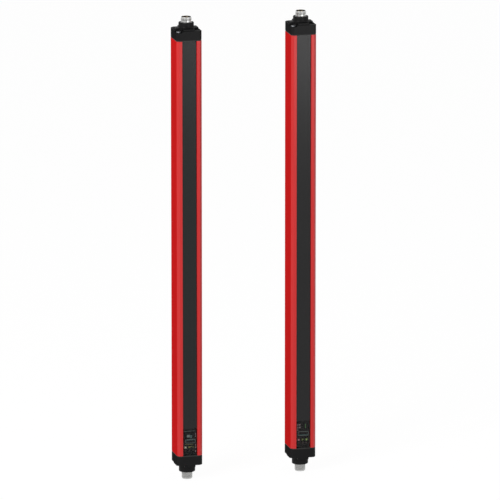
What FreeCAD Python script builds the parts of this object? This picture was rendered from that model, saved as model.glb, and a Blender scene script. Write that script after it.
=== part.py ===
"""Safety light curtain: a transmitter bar and a receiver bar that stand side by side.

Each bar is an aluminium extrusion with a window in its front, moulded caps screwed on both
ends, a round M12 connector at each end, and a row of lenses on a circuit board inside.
Millimetres, Z up, the windows face -Y, and the origin is the centre of the pair.
"""
import FreeCAD, Part
import math
import os

# The pair
BAR_SPACING = 127.5          # from the middle of one bar to the middle of the other

# Extruded profile: outside, window mouth and window grooves
PROFILE_LENGTH = 460.0
PROFILE_WIDTH = 28.0
PROFILE_DEPTH = 30.0
CORNER_CHAMFER = 2.6
EDGE_RADIUS = 0.5            # rounding of the outer edges of profile and caps
DIE_RADIUS = 0.25            # rounding that the extrusion die leaves on small edges
MOUTH_WIDTH = 16.0           # the window shows through this mouth
LIP_THICKNESS = 2.0          # the lips that hold the window in
GROOVE_OVERLAP = 1.0         # how far each groove reaches behind its lip
WINDOW_THICKNESS = 2.0
SEAL_THICKNESS = 1.1
WINDOW_SIDE_GAP = 0.15

# Extruded profile: inside
SIDE_WALL = 2.4
THROAT_WIDTH = 15.6          # the narrow part of the hollow, between the front screw ports
THROAT_DEPTH = 4.5
BOARD_SLOT_DEPTH = 0.7
BOARD_SLOT_GAP = 0.1         # room round the board in its slots
BOARD_THICKNESS = 1.6
BOARD_REAR_ROOM = 3.4        # for the packages, between the board and the rear web
REAR_WEB = 1.6               # between the hollow and the T-slot

# Rear T-slot that takes the nuts of the fixing brackets
SLOT_MOUTH = 6.4
SLOT_WIDTH = 11.0
SLOT_DEPTH = 4.4             # the wide part, under the lips
SLOT_LIP = 1.8

# Screws that hold each cap, and the ports that they turn into
SCREW_SIDE_INSET = 3.8       # from the outside faces of the profile
SCREW_FRONT_INSET = 6.8
SCREW_REAR_INSET = 4.6
SCREW_DIAMETER = 3.0
SCREW_REACH = 9.0            # how far a screw enters the profile
SCREW_HEAD_DIAMETER = 5.6
SCREW_HEAD_HEIGHT = 2.2
SCREW_SOCKET_WIDTH = 2.4
SCREW_SOCKET_DEPTH = 1.2
SCREW_GAP = 0.05             # round the shank in its port
SCREW_HOLE_GAP = 0.2         # round the shank in the cap and the gasket
PORT_DEPTH = 20.0

# Moulded end caps, measured outward from the end of the profile
GASKET_THICKNESS = 1.0
GASKET_INSET = 0.2           # from the outside and the inside of the profile
LEDGE_HEIGHT = 10.3          # top of the block that continues the profile
PLATEAU_RISE = 1.4
PLATEAU_INSET = 1.3
BOSS_HEIGHT = 18.6
BOSS_DIAMETER = 16.4
BOSS_EDGE = 0.8
BOSS_FOOT_RADIUS = 0.9
CAP_WALL = 2.4
CAP_CEILING = 2.5
HEAD_TOP = 9.2               # level of the screw heads
HEAD_POCKET_GAP = 0.3        # round each head in its pocket
COLUMN_WALL = 1.6            # round each head pocket, inside the cap
CAP_EDGE = 0.4               # bevel of the moulded top edges
PLATEAU_STEP_RADIUS = 4.0    # of the plateau's steps round the screws
KEY_NOTCH_LEVEL = 9.3        # floor of the two open corners
KEY_NOTCH_REACH_X = 6.1
KEY_NOTCH_REACH_Y = 10.2
KEY_NOTCH_RADIUS = 2.5

# Round connectors, size M12
THREAD_DIAMETER = 12.0
TOP_CONNECTOR_REACH = 5.8    # how far the thread stands out of the boss
BOTTOM_CONNECTOR_REACH = 10.0
BOSS_LIP = 1.6
SHELL_BORE = 10.2
SHELL_EDGE = 0.5
THREAD_RELIEF_WIDTH = 1.0
THREAD_RELIEF_DEPTH = 0.6
FLANGE_DIAMETER = 14.2
FLANGE_THICKNESS = 1.5
TAIL_DIAMETER = 11.2
TAIL_LENGTH = 3.5
ORING_THICKNESS = 1.0
NUT_THICKNESS = 3.0
NUT_SLOT_WIDTH = 1.5
NUT_SLOT_DEPTH = 0.7
CONNECTOR_GAP = 0.1          # between pieces of a connector that slide together
INSERT_RECESS = 4.6          # from the shell's rim down to the contact carrier
INSERT_LOW = 8.0
KEY_WIDTH = 1.5
KEY_DEPTH = 0.7
PIN_CIRCLE_RADIUS = 2.75
PIN_RECESS = 1.0             # the pins end this far inside the rim
PIN_GAP = 0.03
TOP_PIN_COUNT = 4            # on the circle, with one more in the middle
TOP_PIN_DIAMETER = 1.0
BOTTOM_PIN_COUNT = 7
BOTTOM_PIN_DIAMETER = 0.8
CONNECTOR_BOARD_DIAMETER = 13.0
CONNECTOR_BOARD_THICKNESS = 1.6
CONNECTOR_BOARD_LOW = 5.2
LEAD_WIDTH = 8.0
LEAD_THICKNESS = 0.25
LEAD_OVERLAP = 8.0           # length soldered to the main board

# Optics
BEAM_PITCH = 18.0
LENS_DIAMETER = 13.0
LENS_EDGE = 1.4
LENS_BULGE = 1.9
LENS_GAP = 0.1
CARRIER_GAP = 0.2            # between the lens carrier and what is round it
CARRIER_END_GAP = 1.0
CELL_FRONT = 11.4            # side of the square light channel behind a lens
CELL_REAR = 6.4              # and at the board
BOARD_END_GAP = 1.0
EMITTER_SIDE = 3.4
EMITTER_THICKNESS = 1.8
PHOTODIODE_SIDE = 4.4
PHOTODIODE_THICKNESS = 1.2

# Packages on the back of the main board
PROCESSOR_SIDE = 12.0
PROCESSOR_THICKNESS = 1.5
DRIVER_WIDTH = 7.0
DRIVER_LENGTH = 14.0
DRIVER_THICKNESS = 1.6
COIL_SIDE = 6.8
COIL_THICKNESS = 2.6
SWITCH_WIDTH = 6.0
SWITCH_LENGTH = 8.0
SWITCH_THICKNESS = 1.8
PACKAGE_OFFSET = 5.0         # of the packages that stand beside the middle line

# Indicator zone at the bottom of the window; heights are from the indicator board's lower edge
INDICATOR_ZONE = 30.0
INDICATOR_BOARD_END_GAP = 1.75
INDICATOR_BOARD_SIDE_GAP = 0.4
HEADER_WIDTH = 3.0
HEADER_INSET = 2.2           # from the sides of the indicator board
DISPLAY_WIDTH = 9.0
DISPLAY_HEIGHT = 12.0
DISPLAY_THICKNESS = 6.6
DISPLAY_LOW = 10.75
DISPLAY_GAP = 1.2            # between the mask and the display
LIGHT_WIDTH = 1.6
LIGHT_HEIGHT = 1.2
LIGHT_THICKNESS = 0.8
LIGHT_PITCH_X = 4.4
LIGHT_PITCH_Z = 3.6
LIGHT_ROWS = 2
LIGHT_COLUMNS = 3
LIGHT_LOW = 3.25             # middle of the lowest row
PIPE_SIDE = 2.4
GUIDE_WEB = 1.0
GUIDE_GAP = 0.1              # between a light and its pipe
MASK_THICKNESS = 0.2
MASK_WIDTH = 14.6
MASK_MARGIN = 0.8            # round each opening of the mask

# Planes that follow from the sizes above
FRONT_Y = -PROFILE_DEPTH / 2
REAR_Y = PROFILE_DEPTH / 2
SIDE_X = PROFILE_WIDTH / 2
WINDOW_FRONT_Y = FRONT_Y + LIP_THICKNESS
WINDOW_REAR_Y = WINDOW_FRONT_Y + WINDOW_THICKNESS
GROOVE_REAR_Y = WINDOW_REAR_Y + SEAL_THICKNESS
GROOVE_X = MOUTH_WIDTH / 2 + GROOVE_OVERLAP
THROAT_REAR_Y = GROOVE_REAR_Y + THROAT_DEPTH
HOLLOW_X = SIDE_X - SIDE_WALL
SLOT_FLOOR_Y = REAR_Y - SLOT_LIP - SLOT_DEPTH
HOLLOW_REAR_Y = SLOT_FLOOR_Y - REAR_WEB
BOARD_REAR_Y = HOLLOW_REAR_Y - BOARD_REAR_ROOM
BOARD_FRONT_Y = BOARD_REAR_Y - BOARD_THICKNESS
SCREW_X = SIDE_X - SCREW_SIDE_INSET
SCREW_FRONT_Y = FRONT_Y + SCREW_FRONT_INSET
SCREW_REAR_Y = REAR_Y - SCREW_REAR_INSET
SCREW_PLACES = [(x, y) for x in (-SCREW_X, SCREW_X) for y in (SCREW_FRONT_Y, SCREW_REAR_Y)]
CAVITY_TOP = LEDGE_HEIGHT - CAP_CEILING
PLATEAU_HEIGHT = LEDGE_HEIGHT + PLATEAU_RISE
ORING_TOP = BOSS_HEIGHT - BOSS_LIP
FLANGE_TOP = ORING_TOP - ORING_THICKNESS
FLANGE_LOW = FLANGE_TOP - FLANGE_THICKNESS
CONNECTOR_BOARD_TOP = CONNECTOR_BOARD_LOW + CONNECTOR_BOARD_THICKNESS
CARRIER_FRONT_Y = WINDOW_REAR_Y + CARRIER_GAP
MASK_REAR_Y = WINDOW_REAR_Y + MASK_THICKNESS
DISPLAY_FRONT_Y = MASK_REAR_Y + DISPLAY_GAP
INDICATOR_BOARD_FRONT_Y = DISPLAY_FRONT_Y + DISPLAY_THICKNESS
INDICATOR_BOARD_REAR_Y = INDICATOR_BOARD_FRONT_Y + BOARD_THICKNESS
INDICATOR_BOARD_LOW = INDICATOR_BOARD_END_GAP
INDICATOR_BOARD_HIGH = INDICATOR_ZONE - INDICATOR_BOARD_END_GAP
INDICATOR_BOARD_X = HOLLOW_X - INDICATOR_BOARD_SIDE_GAP
DISPLAY_FOOT = INDICATOR_BOARD_LOW + DISPLAY_LOW
DISPLAY_HEAD = DISPLAY_FOOT + DISPLAY_HEIGHT


def vector(x, y, z=0.0):
    return FreeCAD.Vector(x, y, z)


def outline(corners):
    """A closed wire in the XY plane. Each corner is (x, y, rounding radius)."""
    count = len(corners)
    starts, ends, arcs = [], [], []
    for index, (x, y, radius) in enumerate(corners):
        corner = vector(x, y)
        before = vector(*corners[index - 1][:2]) - corner
        after = vector(*corners[(index + 1) % count][:2]) - corner
        before.normalize()
        after.normalize()
        half_angle = before.getAngle(after) / 2
        if radius == 0:
            starts.append(corner)
            ends.append(corner)
            arcs.append(None)
            continue
        back_off = radius / math.tan(half_angle)
        bisector = before + after
        bisector.normalize()
        middle = corner + bisector * (radius / math.sin(half_angle) - radius)
        starts.append(corner + before * back_off)
        ends.append(corner + after * back_off)
        arcs.append(Part.Arc(starts[-1], middle, ends[-1]).toShape())
    edges = []
    for index in range(count):
        if arcs[index]:
            edges.append(arcs[index])
        edges.append(Part.makeLine(ends[index], starts[(index + 1) % count]))
    return Part.Wire(edges)


def prism(corners, low, high):
    """The outline of the corners, filled and pushed from height low to height high."""
    face = Part.Face(outline(corners))
    face.translate(vector(0, 0, low))
    return face.extrude(vector(0, 0, high - low))


def box(x_low, x_high, y_low, y_high, z_low, z_high):
    return Part.makeBox(x_high - x_low, y_high - y_low, z_high - z_low, vector(x_low, y_low, z_low))


def post(diameter, low, high, x=0.0, y=0.0):
    """A round solid that stands along Z."""
    return Part.makeCylinder(diameter / 2, high - low, vector(x, y, low))


def hexagon(width, low, high, x, y):
    """An upright hexagon, width across its flats."""
    radius = width / 2 / math.cos(math.radians(30))
    angles = [math.radians(60 * step) for step in range(6)]
    corners = [(x + radius * math.cos(angle), y + radius * math.sin(angle), 0) for angle in angles]
    return prism(corners, low, high)


def turned(corners):
    """A solid of revolution about Z. Each corner is (radius, height, rounding radius)."""
    lying = Part.Face(outline(corners)).revolve(vector(0, 0), vector(0, 1), 360)
    return lying.rotated(vector(0, 0), vector(1, 0), 90)


def bevel_top(solid, width):
    """Bevels every edge of a solid's highest flat face."""
    top = max(solid.Faces, key=lambda face: face.CenterOfMass.z)
    return solid.makeChamfer(width, top.Edges)


def ring(outer, inner, low, high):
    return post(outer, low, high).cut(post(inner, low, high))


def cut_all(solid, tools):
    return solid.cut(Part.makeCompound(tools))


def body_corners(inset=0.0):
    """Corners of the bar's outside: a rectangle with chamfered corners."""
    x = SIDE_X - inset
    y = REAR_Y - inset
    short_x = x - CORNER_CHAMFER
    short_y = y - CORNER_CHAMFER
    ring_of_corners = [
        (short_x, -y), (x, -short_y), (x, short_y), (short_x, y),
        (-short_x, y), (-x, short_y), (-x, -short_y), (-short_x, -y),
    ]
    return [(cx, cy, EDGE_RADIUS) for cx, cy in ring_of_corners]


def profile_corners():
    """The extrusion's section, from the T-slot round the outside and back through the hollow."""
    slot_x = SLOT_WIDTH / 2
    mouth_x = SLOT_MOUTH / 2
    lip_y = REAR_Y - SLOT_LIP
    short_x = SIDE_X - CORNER_CHAMFER
    short_y = REAR_Y - CORNER_CHAMFER
    window_x = MOUTH_WIDTH / 2
    throat_x = THROAT_WIDTH / 2
    board_slot_x = HOLLOW_X + BOARD_SLOT_DEPTH
    right_half = [
        (slot_x, SLOT_FLOOR_Y, DIE_RADIUS),
        (slot_x, lip_y, DIE_RADIUS),
        (mouth_x, lip_y, DIE_RADIUS),
        (mouth_x, REAR_Y, DIE_RADIUS),
        (short_x, REAR_Y, EDGE_RADIUS),
        (SIDE_X, short_y, EDGE_RADIUS),
        (SIDE_X, -short_y, EDGE_RADIUS),
        (short_x, FRONT_Y, EDGE_RADIUS),
        (window_x, FRONT_Y, EDGE_RADIUS),
        (window_x, WINDOW_FRONT_Y, 0),
        (GROOVE_X, WINDOW_FRONT_Y, 0),
        (GROOVE_X, GROOVE_REAR_Y, 0),
        (throat_x, GROOVE_REAR_Y, DIE_RADIUS),
        (throat_x, THROAT_REAR_Y, DIE_RADIUS),
        (HOLLOW_X, THROAT_REAR_Y, DIE_RADIUS),
        (HOLLOW_X, BOARD_FRONT_Y - BOARD_SLOT_GAP, 0),
        (board_slot_x, BOARD_FRONT_Y - BOARD_SLOT_GAP, 0),
        (board_slot_x, BOARD_REAR_Y + BOARD_SLOT_GAP, 0),
        (HOLLOW_X, BOARD_REAR_Y + BOARD_SLOT_GAP, 0),
        (HOLLOW_X, HOLLOW_REAR_Y, EDGE_RADIUS),
    ]
    left_half = [(-x, y, radius) for x, y, radius in reversed(right_half)]
    return right_half + left_half


def make_profile():
    """Aluminium extrusion, cut to length, with four screw ports drilled into each end."""
    port_diameter = SCREW_DIAMETER + 2 * SCREW_GAP
    ports = []
    for x, y in SCREW_PLACES:
        ports.append(post(port_diameter, 0, PORT_DEPTH, x, y))
        ports.append(post(port_diameter, PROFILE_LENGTH - PORT_DEPTH, PROFILE_LENGTH, x, y))
    return cut_all(prism(profile_corners(), 0, PROFILE_LENGTH), ports)


def make_window():
    """Flat tinted strip that slides into the two front grooves."""
    half = GROOVE_X - WINDOW_SIDE_GAP
    return box(-half, half, WINDOW_FRONT_Y, WINDOW_REAR_Y, 0, PROFILE_LENGTH)


def make_window_seals():
    """Two soft strips that press the window's edges against the lips."""
    outer = GROOVE_X - WINDOW_SIDE_GAP
    inner = THROAT_WIDTH / 2 + WINDOW_SIDE_GAP
    right = box(inner, outer, WINDOW_REAR_Y, GROOVE_REAR_Y, 0, PROFILE_LENGTH)
    left = box(-outer, -inner, WINDOW_REAR_Y, GROOVE_REAR_Y, 0, PROFILE_LENGTH)
    return Part.makeCompound([left, right])


def make_gasket():
    """Flat seal between the end of the profile and a cap."""
    opening_x = THROAT_WIDTH / 2 - GASKET_INSET
    opening_front = GROOVE_REAR_Y + GASKET_INSET
    opening = [
        (opening_x, opening_front, EDGE_RADIUS),
        (opening_x, HOLLOW_REAR_Y, EDGE_RADIUS),
        (-opening_x, HOLLOW_REAR_Y, EDGE_RADIUS),
        (-opening_x, opening_front, EDGE_RADIUS),
    ]
    cuts = [prism(opening, 0, GASKET_THICKNESS)]
    for x, y in SCREW_PLACES:
        cuts.append(post(SCREW_DIAMETER + 2 * SCREW_HOLE_GAP, 0, GASKET_THICKNESS, x, y))
    return cut_all(prism(body_corners(GASKET_INSET), 0, GASKET_THICKNESS), cuts)


def key_notch(sign):
    """Tool for the open corner round a screw. The sign picks front left or rear right."""
    x_outer = sign * (SIDE_X + EDGE_RADIUS)
    y_outer = sign * (REAR_Y + EDGE_RADIUS)
    x_inner = sign * (SIDE_X - KEY_NOTCH_REACH_X)
    y_inner = sign * (REAR_Y - KEY_NOTCH_REACH_Y)
    corners = [
        (x_outer, y_outer, 0), (x_inner, y_outer, 0),
        (x_inner, y_inner, KEY_NOTCH_RADIUS), (x_outer, y_inner, 0),
    ]
    return prism(corners, KEY_NOTCH_LEVEL, BOSS_HEIGHT)


def plateau_corners():
    """A rectangle that steps back round each screw, with the screw as the centre of its arc."""
    x = SIDE_X - PLATEAU_INSET
    y = REAR_Y - PLATEAU_INSET
    step = PLATEAU_STEP_RADIUS
    step_x = SCREW_X - step
    right_half = [
        (step_x, -y, EDGE_RADIUS), (step_x, SCREW_FRONT_Y + step, step),
        (x, SCREW_FRONT_Y + step, EDGE_RADIUS), (x, SCREW_REAR_Y - step, EDGE_RADIUS),
        (step_x, SCREW_REAR_Y - step, step), (step_x, y, EDGE_RADIUS),
    ]
    left_half = [(-cx, cy, radius) for cx, cy, radius in reversed(right_half)]
    return right_half + left_half


def cap_outside():
    """Block with a raised plateau and, in its middle, the boss for the connector."""
    block = bevel_top(prism(body_corners(), GASKET_THICKNESS, LEDGE_HEIGHT), CAP_EDGE)
    plateau = bevel_top(prism(plateau_corners(), CAVITY_TOP, PLATEAU_HEIGHT), CAP_EDGE)
    radius = BOSS_DIAMETER / 2
    foot = radius + 1.2 * BOSS_FOOT_RADIUS
    boss = turned([
        (0, CAVITY_TOP, 0), (foot, CAVITY_TOP, 0), (foot, PLATEAU_HEIGHT, 0),
        (radius, PLATEAU_HEIGHT, BOSS_FOOT_RADIUS), (radius, BOSS_HEIGHT, BOSS_EDGE),
        (0, BOSS_HEIGHT, 0),
    ])
    return block.fuse([plateau, boss]).removeSplitter()


def make_cap():
    """Moulded end cap, hollow, with a column under each screw and a stepped bore in its boss."""
    inner_x = SIDE_X - CAP_WALL
    inner_y = REAR_Y - CAP_WALL
    pocket_diameter = SCREW_HEAD_DIAMETER + 2 * HEAD_POCKET_GAP
    cavity = box(-inner_x, inner_x, -inner_y, inner_y, GASKET_THICKNESS, CAVITY_TOP)
    columns = [
        post(pocket_diameter + 2 * COLUMN_WALL, GASKET_THICKNESS, CAVITY_TOP, x, y)
        for x, y in SCREW_PLACES
    ]
    cuts = [cut_all(cavity, columns)]
    head_low = HEAD_TOP - SCREW_HEAD_HEIGHT
    for x, y in SCREW_PLACES:
        cuts.append(post(pocket_diameter, head_low, BOSS_HEIGHT, x, y))
        cuts.append(post(SCREW_DIAMETER + 2 * SCREW_HOLE_GAP, 0, head_low, x, y))
    cuts.append(post(FLANGE_DIAMETER + 2 * CONNECTOR_GAP, CAVITY_TOP, ORING_TOP))
    cuts.append(post(THREAD_DIAMETER + 2 * CONNECTOR_GAP, ORING_TOP, BOSS_HEIGHT))
    cuts += [key_notch(-1), key_notch(1)]
    return cut_all(cap_outside(), cuts)


def make_cap_screws():
    """Four screws with a cylinder head and a hexagon socket."""
    head_low = HEAD_TOP - SCREW_HEAD_HEIGHT
    screws = []
    for x, y in SCREW_PLACES:
        head = post(SCREW_HEAD_DIAMETER, head_low, HEAD_TOP, x, y)
        shank = post(SCREW_DIAMETER, -SCREW_REACH, head_low, x, y)
        socket = hexagon(SCREW_SOCKET_WIDTH, HEAD_TOP - SCREW_SOCKET_DEPTH, HEAD_TOP, x, y)
        screws.append(head.fuse(shank).cut(socket))
    return Part.makeCompound(screws)


def make_shell(reach):
    """Turned connector shell: thread, relief groove, flange that sits in the boss, and tail."""
    rim = BOSS_HEIGHT + reach
    thread_radius = THREAD_DIAMETER / 2
    relief_radius = thread_radius - THREAD_RELIEF_DEPTH
    bore_radius = SHELL_BORE / 2
    flange_radius = FLANGE_DIAMETER / 2
    tail_radius = TAIL_DIAMETER / 2
    tail_low = FLANGE_LOW - TAIL_LENGTH
    section = [
        (bore_radius, tail_low), (tail_radius, tail_low), (tail_radius, FLANGE_LOW),
        (flange_radius, FLANGE_LOW), (flange_radius, FLANGE_TOP), (thread_radius, FLANGE_TOP),
        (thread_radius, BOSS_HEIGHT), (relief_radius, BOSS_HEIGHT),
        (relief_radius, BOSS_HEIGHT + THREAD_RELIEF_WIDTH),
        (thread_radius, BOSS_HEIGHT + THREAD_RELIEF_WIDTH + THREAD_RELIEF_DEPTH),
        (thread_radius, rim - SHELL_EDGE), (thread_radius - SHELL_EDGE, rim), (bore_radius, rim),
    ]
    return turned([(radius, height, 0) for radius, height in section])


def pin_places(count):
    """Centres of the contact pins: one in the middle and the rest on the circle."""
    places = [(0.0, 0.0)]
    for index in range(count):
        angle = 2 * math.pi * (index + 0.5) / count - math.pi / 2
        places.append((PIN_CIRCLE_RADIUS * math.cos(angle), PIN_CIRCLE_RADIUS * math.sin(angle)))
    return places


def make_insert(reach, count, pin_diameter):
    """Moulded contact carrier inside the shell, with a coding groove in its face."""
    top = BOSS_HEIGHT + reach - INSERT_RECESS
    radius = SHELL_BORE / 2 - CONNECTOR_GAP
    cuts = [post(pin_diameter + 2 * PIN_GAP, INSERT_LOW, top, x, y) for x, y in pin_places(count)]
    key_low = top - INSERT_RECESS / 2
    cuts.append(box(-KEY_WIDTH / 2, KEY_WIDTH / 2, -radius - KEY_DEPTH, KEY_DEPTH - radius, key_low, top))
    return cut_all(post(2 * radius, INSERT_LOW, top), cuts)


def make_pins(reach, count, pin_diameter):
    """Contact pins with rounded tips, soldered to the connector board."""
    top = BOSS_HEIGHT + reach - PIN_RECESS
    radius = pin_diameter / 2
    pin = turned([
        (0, CONNECTOR_BOARD_TOP, 0), (radius, CONNECTOR_BOARD_TOP, 0), (radius, top, radius / 2),
        (0, top, 0),
    ])
    return Part.makeCompound([pin.translated(vector(x, y)) for x, y in pin_places(count)])


def make_connector_seal():
    """Sealing ring squeezed between the flange and the lip of the boss."""
    return ring(FLANGE_DIAMETER, THREAD_DIAMETER + CONNECTOR_GAP, FLANGE_TOP, ORING_TOP)


def make_connector_nut():
    """Round nut that locks the flange in the boss, with four slots for a peg spanner."""
    top = FLANGE_LOW
    low = top - NUT_THICKNESS
    blank = ring(FLANGE_DIAMETER, TAIL_DIAMETER + 2 * CONNECTOR_GAP, low, top)
    slot_half = NUT_SLOT_WIDTH / 2
    reach = FLANGE_DIAMETER
    slots = [
        box(-reach, reach, -slot_half, slot_half, low, low + NUT_SLOT_DEPTH),
        box(-slot_half, slot_half, -reach, reach, low, low + NUT_SLOT_DEPTH),
    ]
    return cut_all(blank, slots)


def make_connector_board():
    """Small round board that the contact pins end on."""
    return post(CONNECTOR_BOARD_DIAMETER, CONNECTOR_BOARD_LOW, CONNECTOR_BOARD_TOP)


def make_connector_lead():
    """Flat flexible lead from the back of the main board to the connector board."""
    low = -BOARD_END_GAP - LEAD_OVERLAP
    return box(-LEAD_WIDTH / 2, LEAD_WIDTH / 2, BOARD_REAR_Y, BOARD_REAR_Y + LEAD_THICKNESS,
               low, CONNECTOR_BOARD_LOW)


def beam_heights():
    """Heights of the beams: as many as fit between the indicator zone and the top."""
    cell_half = LENS_DIAMETER / 2 + LENS_GAP
    low = INDICATOR_ZONE + cell_half
    high = PROFILE_LENGTH - CARRIER_END_GAP - cell_half
    count = int((high - low) / BEAM_PITCH) + 1
    return [high - BEAM_PITCH * index for index in range(count)]


def light_channel(height):
    """Square funnel from behind a lens down to its diode."""
    front_y = CARRIER_FRONT_Y + LENS_EDGE
    wires = []
    for side, y in ((CELL_FRONT, front_y), (CELL_REAR, BOARD_FRONT_Y)):
        half = side / 2
        points = [
            vector(-half, y, height - half), vector(half, y, height - half),
            vector(half, y, height + half), vector(-half, y, height + half),
        ]
        wires.append(Part.makePolygon(points + points[:1]))
    return Part.makeLoft(wires, True, True)


def make_optics_carrier():
    """Moulded bar that holds the lenses in front of the diodes."""
    stem_x = THROAT_WIDTH / 2 - CARRIER_GAP
    wing_x = HOLLOW_X - CARRIER_GAP
    wing_y = THROAT_REAR_Y + CARRIER_GAP
    low = INDICATOR_ZONE
    high = PROFILE_LENGTH - CARRIER_END_GAP
    stem = box(-stem_x, stem_x, CARRIER_FRONT_Y, wing_y, low, high)
    wings = box(-wing_x, wing_x, wing_y, BOARD_FRONT_Y, low, high)
    cuts = []
    for height in beam_heights():
        seat = Part.makeCylinder(LENS_DIAMETER / 2 + LENS_GAP, LENS_EDGE,
                                 vector(0, CARRIER_FRONT_Y, height), vector(0, 1, 0))
        cuts += [seat, light_channel(height)]
    return cut_all(stem.fuse(wings).removeSplitter(), cuts)


def make_lenses():
    """A plano-convex lens for each beam, its flat side to the window."""
    radius = LENS_DIAMETER / 2
    bulge_rim = CELL_FRONT / 2 - LENS_GAP
    centre = vector(0, 0, 0)
    points = [
        centre, vector(radius, 0, 0), vector(radius, LENS_EDGE, 0), vector(bulge_rim, LENS_EDGE, 0),
        vector(0, LENS_EDGE + LENS_BULGE, 0),
    ]
    sphere_radius = (bulge_rim ** 2 + LENS_BULGE ** 2) / (2 * LENS_BULGE)
    half_angle = math.asin(bulge_rim / sphere_radius) / 2
    apex_drop = sphere_radius * (1 - math.cos(half_angle))
    on_dome = vector(sphere_radius * math.sin(half_angle), LENS_EDGE + LENS_BULGE - apex_drop, 0)
    section = Part.Wire([
        Part.makeLine(points[0], points[1]),
        Part.makeLine(points[1], points[2]),
        Part.makeLine(points[2], points[3]),
        Part.Arc(points[3], on_dome, points[4]).toShape(),
        Part.makeLine(points[4], points[0]),
    ])
    lens = Part.Face(section).revolve(centre, vector(0, 1, 0), 360)
    lenses = []
    for height in beam_heights():
        lenses.append(lens.translated(vector(0, CARRIER_FRONT_Y, height)))
    return Part.makeCompound(lenses)


def make_circuit_board():
    """Main board, held by its edges in the profile's slots."""
    half = HOLLOW_X + BOARD_SLOT_DEPTH - BOARD_SLOT_GAP
    return box(-half, half, BOARD_FRONT_Y, BOARD_REAR_Y, BOARD_END_GAP, PROFILE_LENGTH - BOARD_END_GAP)


def make_diodes(side, thickness):
    """One infrared diode behind each lens."""
    half = side / 2
    return Part.makeCompound([
        box(-half, half, BOARD_FRONT_Y - thickness, BOARD_FRONT_Y, height - half, height + half)
        for height in beam_heights()
    ])


def make_control_chips():
    """Packages on the back of the main board."""
    processor = (PROCESSOR_SIDE, PROCESSOR_SIDE, PROCESSOR_THICKNESS)
    driver = (DRIVER_WIDTH, DRIVER_LENGTH, DRIVER_THICKNESS)
    coil = (COIL_SIDE, COIL_SIDE, COIL_THICKNESS)
    switch = (SWITCH_WIDTH, SWITCH_LENGTH, SWITCH_THICKNESS)
    places = [
        (0.08, 0, processor), (0.20, 0, driver), (0.30, PACKAGE_OFFSET, coil),
        (0.30, -PACKAGE_OFFSET, coil), (0.45, 0, processor), (0.62, 0, driver),
        (0.78, PACKAGE_OFFSET, switch), (0.90, -PACKAGE_OFFSET, switch),
    ]
    chips = []
    for share_of_length, x, (width, length, thickness) in places:
        height = share_of_length * PROFILE_LENGTH
        chips.append(box(x - width / 2, x + width / 2, BOARD_REAR_Y, BOARD_REAR_Y + thickness,
                         height - length / 2, height + length / 2))
    return Part.makeCompound(chips)


def make_indicator_board():
    """Small board close behind the window that carries the display and the lights."""
    return box(-INDICATOR_BOARD_X, INDICATOR_BOARD_X, INDICATOR_BOARD_FRONT_Y, INDICATOR_BOARD_REAR_Y,
               INDICATOR_BOARD_LOW, INDICATOR_BOARD_HIGH)


def make_board_header():
    """Two contact strips that join the indicator board to the main board and carry it."""
    outer = INDICATOR_BOARD_X - HEADER_INSET
    inner = outer - HEADER_WIDTH
    right = box(inner, outer, INDICATOR_BOARD_REAR_Y, BOARD_FRONT_Y, DISPLAY_FOOT, DISPLAY_HEAD)
    left = box(-outer, -inner, INDICATOR_BOARD_REAR_Y, BOARD_FRONT_Y, DISPLAY_FOOT, DISPLAY_HEAD)
    return Part.makeCompound([left, right])


def make_display_module():
    """Body of the one-digit segment display."""
    return box(-DISPLAY_WIDTH / 2, DISPLAY_WIDTH / 2, DISPLAY_FRONT_Y, INDICATOR_BOARD_FRONT_Y,
               DISPLAY_FOOT, DISPLAY_HEAD)


def light_places():
    """Centres of the indicator lights, below the display."""
    places = []
    for row in range(LIGHT_ROWS):
        for column in range(LIGHT_COLUMNS):
            x = LIGHT_PITCH_X * (column - (LIGHT_COLUMNS - 1) / 2)
            places.append((x, INDICATOR_BOARD_LOW + LIGHT_LOW + LIGHT_PITCH_Z * row))
    return places


def make_indicator_lights():
    return Part.makeCompound([
        box(x - LIGHT_WIDTH / 2, x + LIGHT_WIDTH / 2, INDICATOR_BOARD_FRONT_Y - LIGHT_THICKNESS,
            INDICATOR_BOARD_FRONT_Y, z - LIGHT_HEIGHT / 2, z + LIGHT_HEIGHT / 2)
        for x, z in light_places()
    ])


def make_light_guide():
    """Clear moulding: a pipe in front of each light, joined by a web with two feet."""
    pipe_rear = INDICATOR_BOARD_FRONT_Y - LIGHT_THICKNESS - GUIDE_GAP
    web_front = pipe_rear - GUIDE_WEB
    half = PIPE_SIDE / 2
    places = light_places()
    low = places[0][1] - half
    high = places[-1][1] + half
    web_x = THROAT_WIDTH / 2 - CARRIER_GAP
    pieces = [box(-web_x, web_x, web_front, pipe_rear, low, high)]
    for x, z in places:
        pieces.append(box(x - half, x + half, MASK_REAR_Y, pipe_rear, z - half, z + half))
    for side in (-1, 1):
        x = side * (web_x - GUIDE_WEB / 2)
        pieces.append(box(x - GUIDE_WEB / 2, x + GUIDE_WEB / 2, pipe_rear, INDICATOR_BOARD_FRONT_Y, low, high))
    return pieces[0].fuse(pieces[1:]).removeSplitter()


def make_indicator_mask():
    """Dark film on the back of the window, with an opening for the display and each light."""
    half = MASK_WIDTH / 2
    film = box(-half, half, WINDOW_REAR_Y, MASK_REAR_Y, INDICATOR_BOARD_LOW, INDICATOR_ZONE - CARRIER_GAP)
    display_x = DISPLAY_WIDTH / 2 - MASK_MARGIN
    openings = [box(-display_x, display_x, WINDOW_REAR_Y, MASK_REAR_Y, DISPLAY_FOOT + MASK_MARGIN,
                    DISPLAY_HEAD - MASK_MARGIN)]
    light_half = PIPE_SIDE / 2 - MASK_MARGIN / 2
    for x, z in light_places():
        openings.append(box(x - light_half, x + light_half, WINDOW_REAR_Y, MASK_REAR_Y,
                            z - light_half, z + light_half))
    return cut_all(film, openings)


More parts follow.
